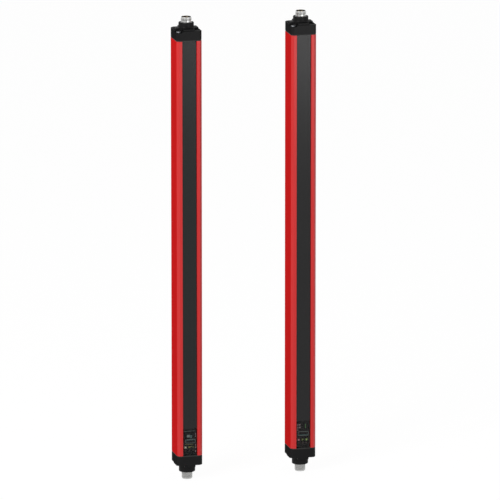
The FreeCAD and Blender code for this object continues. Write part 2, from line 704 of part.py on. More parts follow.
def at_top(shape):
    """Move a piece of an end, modelled outward from zero, to the top end of the profile."""
    return shape.translated(vector(0, 0, PROFILE_LENGTH))


def at_bottom(shape):
    """Turn the same piece end for end, so that its front stays in front."""
    return shape.rotated(vector(0, 0, 0), vector(0, 1, 0), 180)


def at_both(shape):
    return Part.makeCompound([at_bottom(shape), at_top(shape)])


def bar_pieces(diode_name, diode_side, diode_thickness):
    """Every piece of one bar, by name, with the bottom end of its profile at zero."""
    return {
        "profile": make_profile(),
        "window": make_window(),
        "window_seals": make_window_seals(),
        "end_gaskets": at_both(make_gasket()),
        "top_cap": at_top(make_cap()),
        "bottom_cap": at_bottom(make_cap()),
        "top_cap_screws": at_top(make_cap_screws()),
        "bottom_cap_screws": at_bottom(make_cap_screws()),
        "top_connector_shell": at_top(make_shell(TOP_CONNECTOR_REACH)),
        "bottom_connector_shell": at_bottom(make_shell(BOTTOM_CONNECTOR_REACH)),
        "top_contact_insert": at_top(make_insert(TOP_CONNECTOR_REACH, TOP_PIN_COUNT, TOP_PIN_DIAMETER)),
        "bottom_contact_insert": at_bottom(
            make_insert(BOTTOM_CONNECTOR_REACH, BOTTOM_PIN_COUNT, BOTTOM_PIN_DIAMETER)),
        "top_contact_pins": at_top(make_pins(TOP_CONNECTOR_REACH, TOP_PIN_COUNT, TOP_PIN_DIAMETER)),
        "bottom_contact_pins": at_bottom(
            make_pins(BOTTOM_CONNECTOR_REACH, BOTTOM_PIN_COUNT, BOTTOM_PIN_DIAMETER)),
        "connector_seals": at_both(make_connector_seal()),
        "connector_nuts": at_both(make_connector_nut()),
        "connector_boards": at_both(make_connector_board()),
        "connector_leads": at_both(make_connector_lead()),
        "optics_carrier": make_optics_carrier(),
        "lenses": make_lenses(),
        "circuit_board": make_circuit_board(),
        diode_name: make_diodes(diode_side, diode_thickness),
        "control_chips": make_control_chips(),
        "indicator_board": make_indicator_board(),
        "board_header": make_board_header(),
        "display_module": make_display_module(),
        "indicator_lights": make_indicator_lights(),
        "light_guide": make_light_guide(),
        "indicator_mask": make_indicator_mask(),
    }


BARS = [
    ("transmitter", -BAR_SPACING / 2, ("emitters", EMITTER_SIDE, EMITTER_THICKNESS)),
    ("receiver", BAR_SPACING / 2, ("photodiodes", PHOTODIODE_SIDE, PHOTODIODE_THICKNESS)),
]

# The middle of a bar's whole length, connectors included, lies on the origin
MIDDLE = (PROFILE_LENGTH + TOP_CONNECTOR_REACH - BOTTOM_CONNECTOR_REACH) / 2

os.makedirs("parts", exist_ok=True)
for bar_name, bar_x, diodes in BARS:
    for piece_name, piece in bar_pieces(*diodes).items():
        placed = piece.translated(vector(bar_x, 0, -MIDDLE))
        placed.exportStep("parts/" + bar_name + "_" + piece_name + ".step")
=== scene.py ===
import math

import bmesh
import bpy
from mathutils import Matrix, Vector


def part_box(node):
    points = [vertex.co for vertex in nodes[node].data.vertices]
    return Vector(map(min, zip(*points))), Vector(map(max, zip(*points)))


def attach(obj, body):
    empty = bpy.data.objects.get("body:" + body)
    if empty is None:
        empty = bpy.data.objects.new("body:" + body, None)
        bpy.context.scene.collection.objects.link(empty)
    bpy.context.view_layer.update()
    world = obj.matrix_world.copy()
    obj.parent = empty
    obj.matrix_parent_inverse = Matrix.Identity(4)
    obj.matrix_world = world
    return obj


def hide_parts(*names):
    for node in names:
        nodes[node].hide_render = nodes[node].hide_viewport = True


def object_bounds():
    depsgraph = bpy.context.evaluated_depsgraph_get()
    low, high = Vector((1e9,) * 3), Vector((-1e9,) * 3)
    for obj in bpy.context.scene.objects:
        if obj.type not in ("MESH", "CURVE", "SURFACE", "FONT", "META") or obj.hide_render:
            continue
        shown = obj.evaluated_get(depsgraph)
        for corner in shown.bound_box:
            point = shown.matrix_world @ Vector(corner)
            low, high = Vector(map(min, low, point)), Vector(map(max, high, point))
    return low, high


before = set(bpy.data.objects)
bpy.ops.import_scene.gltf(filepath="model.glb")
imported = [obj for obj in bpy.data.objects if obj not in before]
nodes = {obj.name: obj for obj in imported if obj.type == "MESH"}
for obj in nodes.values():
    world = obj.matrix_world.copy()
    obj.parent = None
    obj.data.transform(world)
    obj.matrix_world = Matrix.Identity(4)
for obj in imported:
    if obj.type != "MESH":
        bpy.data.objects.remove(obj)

cad_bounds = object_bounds()


# Camera: far off with a long lens, a little left of the pair and above it, so that the upright
# edges run almost parallel.
def direction_from(azimuth, elevation):
    """Unit vector from the pair towards a viewer at these angles, in degrees."""
    turn, rise = math.radians(azimuth), math.radians(elevation)
    return Vector((math.sin(turn) * math.cos(rise), -math.cos(turn) * math.cos(rise),
                   math.sin(rise)))


VIEW_AZIMUTH = -14.85
VIEW_ELEVATION = 13.39
VIEW_DISTANCE = 8.106
LENS_LENGTH = 538.3
AIM_RIGHT = 0.0070
AIM_UP = -0.0052

view_back = direction_from(VIEW_AZIMUTH, VIEW_ELEVATION)
view_right = direction_from(VIEW_AZIMUTH + 90, 0)
aim = view_right * AIM_RIGHT + Vector((0, 0, AIM_UP))
camera = bpy.data.objects.new("camera", bpy.data.cameras.new("camera"))
bpy.context.scene.collection.objects.link(camera)
camera.data.lens = LENS_LENGTH
camera.data.clip_end = 100.0
camera.location = aim + view_back * VIEW_DISTANCE
camera.rotation_euler = view_back.to_track_quat("Z", "Y").to_euler()
bpy.context.scene.camera = camera


# Profile: one aluminium extrusion a bar, with a red satin powder coat. The coat has a fine orange
# peel and is duller on the flanks, where the bars are gripped. Every other piece is fixed to it.
MM = 0.001
BARS = ("transmitter", "receiver")


class Wire:
    """An output socket in a material. Python's operators on it add Math nodes."""

    def __init__(self, tree, output=None):
        self.tree = tree
        self.output = output

    def node(self, kind, inputs=None, output=0, **settings):
        """Adds a shader node of this kind, with its settings first and then its sockets."""
        made = self.tree.nodes.new("ShaderNode" + kind)
        for setting, value in settings.items():
            setattr(made, setting, value)
        for key, value in (inputs or {}).items():
            if isinstance(value, Wire):
                self.tree.links.new(value.output, made.inputs[key])
            else:
                made.inputs[key].default_value = value
        return Wire(self.tree, made.outputs[output])

    def maths(self, operation, *values):
        """The output of a Math node with this operation on the values."""
        return self.node("Math", dict(enumerate(values)), operation=operation)

    def __add__(self, other):
        return self.maths("ADD", self, other)

    def __radd__(self, other):
        return self.maths("ADD", other, self)

    def __sub__(self, other):
        return self.maths("SUBTRACT", self, other)

    def __rsub__(self, other):
        return self.maths("SUBTRACT", other, self)

    def __mul__(self, other):
        return self.maths("MULTIPLY", self, other)

    def __rmul__(self, other):
        return self.maths("MULTIPLY", other, self)

    def blend(self, low, high):
        """The colour low where this is 0 and high where it is 1."""
        return self.node("Mix", {0: self, 6: low, 7: high}, output=2, data_type="RGBA")


def shade(red, green, blue):
    """An opaque colour in linear light."""
    return (red, green, blue, 1.0)


def object_place(wire):
    """The point's place in the frame that all the pieces share."""
    return wire.node("TexCoord", output="Object")


def along(wire, axis):
    """The point's place along X, Y or Z alone."""
    return wire.node("SeparateXYZ", {0: object_place(wire)}, output=axis)


def grain(wire, size, detail=2.0, roughness=0.5):
    """Noise from 0 to 1 whose lumps are about this many metres across."""
    return wire.node("TexNoise", {"Vector": object_place(wire), "Scale": 1 / size,
                                  "Detail": detail, "Roughness": roughness})


def bumps(wire, height, distance, strength=1.0):
    """A normal that rises by this distance where the height goes from 0 to 1."""
    return wire.node("Bump", {"Height": height, "Distance": distance, "Strength": strength})


def new_material(name, fill, **fixed):
    """A material with a Principled shader: fixed values go on its sockets, fill adds the rest."""
    material = bpy.data.materials.new(name)
    material.use_nodes = True
    tree = material.node_tree
    shader = tree.nodes["Principled BSDF"]
    for key, value in fixed.items():
        shader.inputs[key.replace("_", " ")].default_value = value
    for key, value in fill(Wire(tree)).items():
        tree.links.new(value.output, shader.inputs[key])
    return material


def dress(piece_name, material, bars=BARS):
    """Gives this CAD piece of each bar its finish."""
    for bar in bars:
        slots = nodes[bar + "_" + piece_name].data.materials
        slots.clear()
        slots.append(material)


FLANK_COAT = 0.01
FRONT_COAT = 0.85
FLANK_MARGIN = 0.05 * MM
bar_middle = {}
for bar in BARS:
    low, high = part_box(bar + "_profile")
    bar_middle[bar] = (low.x + high.x) / 2
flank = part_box("transmitter_profile")[1].x - bar_middle["transmitter"]


def flank_mask(wire):
    """1 on the two side faces of a bar and 0 elsewhere. The bars stand evenly about X = 0."""
    from_pair_middle = wire.maths("ABSOLUTE", along(wire, "X"))
    from_bar_middle = wire.maths("ABSOLUTE", from_pair_middle - bar_middle["receiver"])
    return wire.maths("GREATER_THAN", from_bar_middle, flank - FLANK_MARGIN)


def red_coat(wire):
    peel = grain(wire, 1.6 * MM, detail=1.0)
    drift = grain(wire, 60 * MM, detail=3.0)
    speck = grain(wire, 0.35 * MM, detail=1.0)
    on_flank = flank_mask(wire)
    return {
        "Base Color": drift.blend(shade(0.580, 0.0105, 0.0110), shade(0.655, 0.0140, 0.0145)),
        "Roughness": 0.42 + 0.07 * drift + 0.04 * speck,
        "Coat Weight": FRONT_COAT + (FLANK_COAT - FRONT_COAT) * on_flank,
        "Normal": bumps(wire, peel + 0.25 * speck, 0.035 * MM, 0.6),
    }


powder_coat = new_material("red_powder_coat", red_coat, Specular_IOR_Level=0.0, Coat_Roughness=0.28)
dress("profile", powder_coat)


# Window: a smooth extruded strip, tinted almost black, that lets infrared through. It lies in the
# profile's front grooves. Its polish has faint flow marks, and over the indicators it is clearer.
indicator_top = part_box("transmitter_optics_carrier")[0].z
TINT_FADE = 0.5 * MM
TINT_ALPHA = 0.96
CLEARING = 0.36


def tint(wire):
    clear = wire.node("MapRange", {
        "Value": along(wire, "Z"), "From Min": indicator_top - TINT_FADE,
        "From Max": indicator_top + TINT_FADE, "To Min": 1.0, "To Max": 0.0})
    stretched = wire.node("Mapping", {"Vector": object_place(wire), "Scale": (1.0, 1.0, 0.03)})
    flow = wire.node("TexNoise", {"Vector": stretched, "Scale": 1 / (2.5 * MM), "Detail": 2.0})
    haze = grain(wire, 25 * MM, detail=3.0)
    return {
        "Base Color": haze.blend(shade(0.0030, 0.0030, 0.0032), shade(0.0055, 0.0054, 0.0055)),
        "Roughness": 0.20 + 0.06 * haze,
        "Alpha": TINT_ALPHA - CLEARING * clear,
        "Normal": bumps(wire, flow, 0.006 * MM, 0.5),
    }


window_tint = new_material("tinted_window", tint, IOR=1.49, Specular_IOR_Level=0.33)
dress("window", window_tint)


# Gaskets and seals: black nitrile rubber, dull, with a dusty bloom. They lie behind the window's
# edges, under the caps and round the connectors.
def nitrile(wire):
    bloom = grain(wire, 3 * MM, detail=4.0)
    return {
        "Base Color": bloom.blend(shade(0.010, 0.010, 0.010), shade(0.026, 0.026, 0.025)),
        "Roughness": 0.72 + 0.15 * bloom,
        "Normal": bumps(wire, bloom, 0.02 * MM),
    }


rubber = new_material("black_rubber", nitrile)
for piece_name in ("window_seals", "end_gaskets", "connector_seals"):
    dress(piece_name, rubber)


# End caps: black glass-filled nylon with a fine spark-eroded grain, each moulded in one piece with
# the boss for its connector. Four screws in sunk seats hold a cap to the profile. The front left
# corner of a top cap is open down to its screw.
CAP_COAT = 0.22
FLANK_DULLING = 0.82


def moulded_black(wire):
    erosion = grain(wire, 0.28 * MM, detail=2.0, roughness=0.6)
    cloud = grain(wire, 9 * MM, detail=2.0)
    return {
        "Base Color": cloud.blend(shade(0.0060, 0.0060, 0.0062), shade(0.0090, 0.0089, 0.0091)),
        "Roughness": 0.42 + 0.10 * erosion + 0.05 * cloud,
        "Coat Weight": CAP_COAT * (1 - FLANK_DULLING * flank_mask(wire)),
        "Normal": bumps(wire, erosion, 0.03 * MM, 0.55),
    }


cap_plastic = new_material("black_cap_plastic", moulded_black, Specular_IOR_Level=0.0,
                           Coat_Roughness=0.32)

# Levels are measured outward from the profile's end, so every cap is modelled pointing upward.
GASKET_LEVEL = 1.0 * MM
SEAT_LEVEL = 7.0 * MM
CEILING_LEVEL = 7.8 * MM
NOTCH_LEVEL = 9.3 * MM
LEDGE_LEVEL = 11.0 * MM
TOP_PLATEAU = 12.9 * MM
BOTTOM_PLATEAU = 13.3 * MM
LIP_LEVEL = 17.0 * MM
TOP_BOSS_LEVEL = 18.6 * MM
BOTTOM_BOSS_LEVEL = 20.4 * MM
CUT_MARGIN = 1.0 * MM
ABOVE = 24 * MM
# The block and the plateau, seen from above.
HALF_WIDTH = 14.0 * MM
HALF_DEPTH = 15.0 * MM
CORNER_CUT = 2.6 * MM
WALL = 2.4 * MM
PLATEAU_SETBACK = 1.3 * MM
STEP_RADIUS = 4.0 * MM
NOTCH_RIGHT = -7.9 * MM
NOTCH_REAR = -4.8 * MM
NOTCH_ROUNDING = 2.5 * MM
# The boss and the stepped bore in it.
TOP_BOSS_RADIUS = 8.3 * MM
BOTTOM_BOSS_RADIUS = 8.9 * MM
LIP_RADIUS = 6.1 * MM
NUT_RADIUS = 7.2 * MM
# The four screw seats.
SCREW_X = 10.2 * MM
SCREW_FRONT_Y = -8.2 * MM
SCREW_REAR_Y = 10.4 * MM
POCKET_RADIUS = 3.1 * MM
HOLE_RADIUS = 1.7 * MM
COLUMN_RADIUS = 4.7 * MM
# Edges, rounded in a few steps, and small allowances.
RIM = 0.45 * MM
PLATEAU_RIM = 0.3 * MM
BOSS_ROUNDING = 0.8 * MM
BOSS_FOOT = 0.9 * MM
RIM_STEPS = 3
CORNER_STEPS = 8
OVERLAP = 0.02 * MM
NEAR = 1e-7
Z_AXIS = Vector((0, 0, 1))


def turned(builder, section, segments=72, closed=True):
    """Adds a turned shape: the section's (radius, height) corners spun about Z."""
    corners = [builder.verts.new((radius, 0, height)) for radius, height in section]
    loop = [builder.edges.new(pair) for pair in zip(corners, corners[1:])]
    if closed:
        loop.append(builder.edges.new((corners[-1], corners[0])))
    bmesh.ops.spin(builder, geom=corners + loop, axis=Z_AXIS, cent=(0, 0, 0),
                   angle=2 * math.pi, steps=segments, use_merge=True, use_duplicate=False)
    bmesh.ops.remove_doubles(builder, verts=builder.verts, dist=NEAR)


def add_copy(builder, other, place):
    """Adds the other builder's mesh, moved by place, and frees that builder."""
    bmesh.ops.transform(other, matrix=place, verts=other.verts)
    mesh = bpy.data.meshes.new("copy")
    other.to_mesh(mesh)
    other.free()
    builder.from_mesh(mesh)
    bpy.data.meshes.remove(mesh)


def finish_piece(builder, name, material, smooth_angle=35.0):
    """Turns the builder into a piece that rides on the one body."""
    bmesh.ops.recalc_face_normals(builder, faces=builder.faces)
    mesh = bpy.data.meshes.new(name)
    builder.to_mesh(mesh)
    builder.free()
    mesh.materials.append(material)
    piece = bpy.data.objects.new(name, mesh)
    bpy.context.scene.collection.objects.link(piece)
    mesh.shade_smooth()
    mesh.set_sharp_from_angle(angle=math.radians(smooth_angle))
    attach(piece, "root")
    return piece


def outward_turn(outward):
    """Turns a piece modelled upward end for end where it belongs to the bottom."""
    return Matrix.Rotation(0 if outward > 0 else math.pi, 4, "Y")


def upright_block(corners, low, high, rim=0.0):
    """A solid over (x, y, rounding) corners, with round upright edges and a round upper rim."""
    builder = bmesh.new()
    outline = builder.faces.new([builder.verts.new((x, y, low)) for x, y, _ in corners])
    raised = bmesh.ops.extrude_face_region(builder, geom=[outline])["geom"]
    bmesh.ops.translate(builder, vec=(0, 0, high - low),
                        verts=[item for item in raised if isinstance(item, bmesh.types.BMVert)])
    for rounding in sorted({rounding for _, _, rounding in corners if rounding}):
        places = [Vector((x, y)) for x, y, other in corners if other == rounding]
        upright = [edge for edge in builder.edges
                   if (edge.verts[0].co.xy - edge.verts[1].co.xy).length < NEAR
                   and any((edge.verts[0].co.xy - place).length < NEAR for place in places)]
        bmesh.ops.bevel(builder, geom=upright, offset=rounding, offset_type="OFFSET",
                        segments=CORNER_STEPS if rounding > RIM else RIM_STEPS, profile=0.5,
                        affect="EDGES", material=-1)
    if rim:
        upper = [edge for edge in builder.edges
                 if all(abs(corner.co.z - high) < NEAR for corner in edge.verts)]
        bmesh.ops.bevel(builder, geom=upper, offset=rim, offset_type="OFFSET",
                        segments=RIM_STEPS, profile=0.5, affect="EDGES", material=-1)
    bmesh.ops.recalc_face_normals(builder, faces=builder.faces)
    return builder


def posts(places, radius, low, high):
    """Upright round posts at these places, as one mesh."""
    builder = bmesh.new()
    for x, y in places:
        bmesh.ops.create_cone(builder, cap_ends=True, segments=64, radius1=radius, radius2=radius,
                              depth=high - low, matrix=Matrix.Translation((x, y, (low + high) / 2)))
    return builder


def combined(base, tool, operation):
    """The base joined with the tool, or cut by it. Both builders are used up."""
    stand_ins = []
    for builder in (base, tool):
        mesh = bpy.data.meshes.new("stand_in")
        builder.to_mesh(mesh)
        builder.free()
        stand_ins.append(bpy.data.objects.new("stand_in", mesh))
        bpy.context.scene.collection.objects.link(stand_ins[-1])
    boolean = stand_ins[0].modifiers.new("boolean", "BOOLEAN")
    boolean.object = stand_ins[1]
    boolean.operation = operation
    boolean.solver = "EXACT"
    whole = bpy.data.meshes.new_from_object(
        stand_ins[0].evaluated_get(bpy.context.evaluated_depsgraph_get()))
    result = bmesh.new()
    result.from_mesh(whole)
    bpy.data.meshes.remove(whole)
    for stand_in in stand_ins:
        mesh = stand_in.data
        bpy.data.objects.remove(stand_in)
        bpy.data.meshes.remove(mesh)
    return result


def turned_solid(section):
    """A solid spun about Z from a section that starts and ends on the axis."""
    builder = bmesh.new()
    turned(builder, section, segments=96, closed=False)
    bmesh.ops.recalc_face_normals(builder, faces=builder.faces)
    return builder


def quarter(centre_radius, centre_height, radius, start, end, steps=5):
    """Points of a section along an arc, from one angle to another in degrees."""
    angles = [math.radians(start + (end - start) * step / steps) for step in range(steps + 1)]
    return [(centre_radius + radius * math.cos(angle), centre_height + radius * math.sin(angle))
            for angle in angles]


def block_outline():
    """The corners of a cap's block: the profile's own outline with its cut corners."""
    short_x, short_y = HALF_WIDTH - CORNER_CUT, HALF_DEPTH - CORNER_CUT
    right_half = [(short_x, -HALF_DEPTH, RIM), (HALF_WIDTH, -short_y, RIM),
                  (HALF_WIDTH, short_y, RIM), (short_x, HALF_DEPTH, RIM)]
    return right_half + [(-x, y, rounding) for x, y, rounding in reversed(right_half)]


def plateau_outline(is_top):
    """The corners of the plateau, which steps back round the screws.

    A bottom cap has one full corner. It is the right rear one while the cap points upward.
    """
    wide, deep = HALF_WIDTH - PLATEAU_SETBACK, HALF_DEPTH - PLATEAU_SETBACK
    step_x = SCREW_X - STEP_RADIUS
    step_front, step_rear = SCREW_FRONT_Y + STEP_RADIUS, SCREW_REAR_Y - STEP_RADIUS
    right_half = [(step_x, -deep, RIM), (step_x, step_front, STEP_RADIUS), (wide, step_front, RIM),
                  (wide, step_rear, RIM), (step_x, step_rear, STEP_RADIUS), (step_x, deep, RIM)]
    left_half = [(-x, y, rounding) for x, y, rounding in reversed(right_half)]
    if not is_top:
        right_half[3:] = [(wide, deep - CORNER_CUT, RIM), (wide - CORNER_CUT, deep, RIM)]
    return right_half + left_half


def boss_section(plateau_level, boss_level, boss_radius):
    """Half the boss, from inside the block over a round foot to a round shoulder."""
    sunk_radius = boss_radius + BOSS_FOOT + RIM
    sunk = [(0, SEAT_LEVEL - RIM), (sunk_radius, SEAT_LEVEL - RIM),
            (sunk_radius, plateau_level - OVERLAP)]
    foot = quarter(boss_radius + BOSS_FOOT, plateau_level + BOSS_FOOT, BOSS_FOOT, 270, 180)
    shoulder = quarter(boss_radius - BOSS_ROUNDING, boss_level - BOSS_ROUNDING,
                       BOSS_ROUNDING, 0, 90)
    return sunk + foot + shoulder + [(0, boss_level)]


def moulded_cap(is_top):
    """One cap that points upward."""
    plateau_level = TOP_PLATEAU if is_top else BOTTOM_PLATEAU
    boss_level = TOP_BOSS_LEVEL if is_top else BOTTOM_BOSS_LEVEL
    boss_radius = TOP_BOSS_RADIUS if is_top else BOTTOM_BOSS_RADIUS
    cap = upright_block(block_outline(), GASKET_LEVEL, LEDGE_LEVEL, RIM)
    plateau = upright_block(plateau_outline(is_top), SEAT_LEVEL, plateau_level, PLATEAU_RIM)
    cap = combined(cap, plateau, "UNION")
    boss = turned_solid(boss_section(plateau_level, boss_level, boss_radius))
    cap = combined(cap, boss, "UNION")

    places = [(x, y) for x in (-SCREW_X, SCREW_X) for y in (SCREW_FRONT_Y, SCREW_REAR_Y)]
    inner_x, inner_y = HALF_WIDTH - WALL, HALF_DEPTH - WALL
    cavity = upright_block([(inner_x, -inner_y, 0), (inner_x, inner_y, 0), (-inner_x, inner_y, 0),
                            (-inner_x, -inner_y, 0)], 0, CEILING_LEVEL)
    cavity = combined(cavity, posts(places, COLUMN_RADIUS, -CUT_MARGIN, ABOVE), "DIFFERENCE")
    cap = combined(cap, cavity, "DIFFERENCE")
    bore_level = SEAT_LEVEL - CUT_MARGIN
    bore = turned_solid([(0, bore_level), (NUT_RADIUS, bore_level), (NUT_RADIUS, LIP_LEVEL),
                         (LIP_RADIUS, LIP_LEVEL), (LIP_RADIUS, ABOVE), (0, ABOVE)])
    cap = combined(cap, bore, "DIFFERENCE")
    cap = combined(cap, posts(places, HOLE_RADIUS, 0, ABOVE), "DIFFERENCE")
    cap = combined(cap, posts(places, POCKET_RADIUS, SEAT_LEVEL, ABOVE), "DIFFERENCE")
    if is_top:
        outer_x, outer_y = -HALF_WIDTH - CUT_MARGIN, -HALF_DEPTH - CUT_MARGIN
        notch = [(outer_x, outer_y, 0), (NOTCH_RIGHT, outer_y, 0),
                 (NOTCH_RIGHT, NOTCH_REAR, NOTCH_ROUNDING), (outer_x, NOTCH_REAR, 0)]
        cap = combined(cap, upright_block(notch, NOTCH_LEVEL, ABOVE), "DIFFERENCE")
    return cap


for end, outward in (("top", 1), ("bottom", -1)):
    for bar in BARS:
        node_name = bar + "_" + end + "_cap"
        low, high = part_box(bar + "_profile")
        profile_end = high.z if outward > 0 else low.z
        cap = moulded_cap(is_top=outward > 0)
        place = Matrix.Translation((bar_middle[bar], 0, profile_end)) @ outward_turn(outward)
        bmesh.ops.transform(cap, matrix=place, verts=cap.verts)
        piece = finish_piece(cap, node_name + "_moulded", cap_plastic,
                             smooth_angle=40.0)
        weighted = piece.modifiers.new("even_shading", "WEIGHTED_NORMAL")
        weighted.keep_sharp = True
        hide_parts(node_name)


# Cap screws: cylinder heads with a hexagon socket, zinc plated steel, one at each corner of a
# cap. They go through the cap and its gasket into the profile.
HEAD_RADIUS = 2.8 * MM
HEAD_HEIGHT = 3.2 * MM
# How far a head stands above the one that it replaces. Its shank is longer by as much.
HEAD_RISE = 1.0 * MM
HEAD_EDGE = 0.45 * MM
HEAD_EDGE_MIDDLE = 0.13 * MM
SHANK_RADIUS = 1.5 * MM
SHANK_TAPER = 0.4 * MM
SHANK_TIP = 0.5 * MM
SOCKET_RADIUS = 1.39 * MM
SOCKET_DEPTH = 1.2 * MM


def cap_screw(length):
    """One screw with the top of its head at height 0 and its shank downward."""
    screw = bmesh.new()
    turned(screw, [
        (0.0, -length), (SHANK_RADIUS - SHANK_TAPER, -length), (SHANK_RADIUS, -length + SHANK_TIP),
        (SHANK_RADIUS, -HEAD_HEIGHT), (HEAD_RADIUS, -HEAD_HEIGHT), (HEAD_RADIUS, -HEAD_EDGE),
        (HEAD_RADIUS - HEAD_EDGE_MIDDLE, -HEAD_EDGE_MIDDLE), (HEAD_RADIUS - HEAD_EDGE, 0.0),
    ], segments=36, closed=False)
    rim = [edge for edge in screw.edges if edge.is_boundary]
    socket = bmesh.ops.create_circle(screw, radius=SOCKET_RADIUS, segments=6)["verts"]
    mouth = list({edge for corner in socket for edge in corner.link_edges})
    bmesh.ops.bridge_loops(screw, edges=rim + mouth)
    walls = bmesh.ops.extrude_edge_only(screw, edges=mouth)["geom"]
    floor_corners = [item for item in walls if isinstance(item, bmesh.types.BMVert)]
    bmesh.ops.translate(screw, verts=floor_corners, vec=(0, 0, -SOCKET_DEPTH))
    bmesh.ops.contextual_create(screw, geom=floor_corners)
    return screw


def zinc_plate(wire):
    spangle = grain(wire, 0.9 * MM, detail=4.0)
    return {
        "Base Color": spangle.blend(shade(0.130, 0.134, 0.142), shade(0.230, 0.235, 0.245)),
        "Roughness": 0.36 + 0.18 * spangle,
        "Normal": bumps(wire, spangle, 0.01 * MM),
    }


zinc = new_material("zinc_plate", zinc_plate, Metallic=1.0)

for bar in BARS:
    for end, outward in (("top", 1), ("bottom", -1)):
        node_name = bar + "_" + end + "_cap_screws"
        low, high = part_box(node_name)
        head_top = (high.z if outward > 0 else low.z) + outward * HEAD_RISE
        length = high.z - low.z + HEAD_RISE
        builder = bmesh.new()
        for x in (low.x + HEAD_RADIUS, high.x - HEAD_RADIUS):
            for y in (low.y + HEAD_RADIUS, high.y - HEAD_RADIUS):
                place = Matrix.Translation((x, y, head_top)) @ outward_turn(outward)
                add_copy(builder, cap_screw(length), place)
        screws = finish_piece(builder, node_name + "_socket_head", zinc,
                              smooth_angle=30.0)
        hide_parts(node_name)


# Connector shells: brass turned on a lathe and nickel plated, with an M12 thread of 1 mm pitch.
# The flange inside the boss holds each one. The thread is one ridge wound round a core.
CORE_RADIUS = 5.45 * MM
CREST_RADIUS = 5.97 * MM
THREAD_PITCH = 1.0 * MM
CREST_HALF = 0.09 * MM
ROOT_HALF = 0.46 * MM
ROOT_OVERLAP = 0.06 * MM
STEPS_A_TURN = 40
RELIEF = 1.4 * MM
THREAD_LEAD = 0.4 * MM
THREAD_RUNOUT = 0.15 * MM
RELIEF_SLOPE = 0.1 * MM
RIM_CHAMFER = 0.6 * MM
BORE_CHAMFER = 0.1 * MM
BORE_RADIUS = 5.1 * MM
TAIL_RADIUS = 5.6 * MM
FLANGE_RADIUS = 7.1 * MM
FLANGE_FROM, FLANGE_TO = -4.1 * MM, -2.6 * MM
TAIL_FROM = -7.6 * MM


def wound_thread(builder, low, high):
    """Adds a closed helical ridge from height low to height high."""
    steps = int(((high - low) / THREAD_PITCH - 1) * STEPS_A_TURN)
    middle = low + THREAD_PITCH / 2
    root = CORE_RADIUS - ROOT_OVERLAP
    section = [(root, -ROOT_HALF), (CREST_RADIUS, -CREST_HALF), (CREST_RADIUS, CREST_HALF),
               (root, ROOT_HALF)]
    corners = [builder.verts.new((radius, 0, middle + rise)) for radius, rise in section]
    start = builder.faces.new(corners)
    bmesh.ops.spin(builder, geom=[start] + list(start.edges) + corners, axis=Z_AXIS, cent=(0, 0, 0),
                   angle=2 * math.pi * steps / STEPS_A_TURN, steps=steps, use_duplicate=False,
                   dvec=Z_AXIS * (THREAD_PITCH / STEPS_A_TURN))


def satin_nickel(wire):
    lathe = wire.node("TexNoise", {"W": along(wire, "Z") * (1 / (0.12 * MM)), "Scale": 1.0,
                                   "Detail": 2.0}, noise_dimensions="1D")
    stain = grain(wire, 2.5 * MM, detail=4.0)
    return {
        "Base Color": stain.blend(shade(0.42, 0.42, 0.415), shade(0.58, 0.58, 0.57)),
        "Roughness": 0.12 + 0.10 * stain,
        "Normal": bumps(wire, lathe, 0.01 * MM, 0.5),
    }


nickel = new_material("satin_nickel", satin_nickel, Metallic=1.0)

for bar in BARS:
    for end, outward in (("top", 1), ("bottom", -1)):
        node_name = bar + "_" + end + "_connector_shell"
        shell_low, shell_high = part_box(node_name)
        cap_low, cap_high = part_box(bar + "_" + end + "_cap")
        # A bottom cap's boss is longer than the node that it replaces, so it hides the first turns.
        boss_face = cap_high.z if outward > 0 else cap_low.z
        tip = shell_high.z if outward > 0 else shell_low.z
        reach = abs(tip - boss_face)
        builder = bmesh.new()
        turned(builder, [
            (BORE_RADIUS, TAIL_FROM), (TAIL_RADIUS, TAIL_FROM), (TAIL_RADIUS, FLANGE_FROM),
            (FLANGE_RADIUS, FLANGE_FROM), (FLANGE_RADIUS, FLANGE_TO), (CREST_RADIUS, FLANGE_TO),
            (CREST_RADIUS, -OVERLAP), (CORE_RADIUS, RELIEF_SLOPE),
            (CORE_RADIUS, reach - RIM_CHAMFER), (CREST_RADIUS - RIM_CHAMFER, reach),
            (BORE_RADIUS + BORE_CHAMFER, reach), (BORE_RADIUS, reach - BORE_CHAMFER),
        ])
        wound_thread(builder, RELIEF - THREAD_LEAD, reach - RIM_CHAMFER + THREAD_RUNOUT)
        centre = (shell_low + shell_high) / 2
        place = Matrix.Translation((centre.x, centre.y, boss_face)) @ outward_turn(outward)
        bmesh.ops.transform(builder, matrix=place, verts=builder.verts)
        shell = finish_piece(builder, node_name + "_turned", nickel)
        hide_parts(node_name)


# Connector nuts: round nuts of the same plated brass. Each locks a flange in its boss from the
# inside of the cap.
dress("connector_nuts", nickel)


# Contact carriers: black moulded plastic, glossier than the caps. They sit in the shells and
# hold the contact pins.
def insert_black(wire):
    flow = grain(wire, 1.5 * MM, detail=3.0)
    return {
        "Base Color": flow.blend(shade(0.012, 0.012, 0.013), shade(0.020, 0.020, 0.021)),
        "Roughness": 0.30 + 0.12 * flow,
        "Normal": bumps(wire, flow, 0.02 * MM),
    }


insert_plastic = new_material("black_insert_plastic", insert_black)
dress("top_contact_insert", insert_plastic)
dress("bottom_contact_insert", insert_plastic)


# Contact pins: brass with a thin gold plate, pressed into the carriers and soldered to the round
# boards behind them.
def gold_plate(wire):
    wear = grain(wire, 0.6 * MM, detail=3.0)
    return {
        "Base Color": wear.blend(shade(0.66, 0.50, 0.24), shade(0.80, 0.64, 0.36)),
        "Roughness": 0.18 + 0.14 * wear,
        "Normal": bumps(wire, wear, 0.005 * MM),
    }


gold = new_material("gold_plate", gold_plate, Metallic=1.0)
dress("top_contact_pins", gold)
dress("bottom_contact_pins", gold)


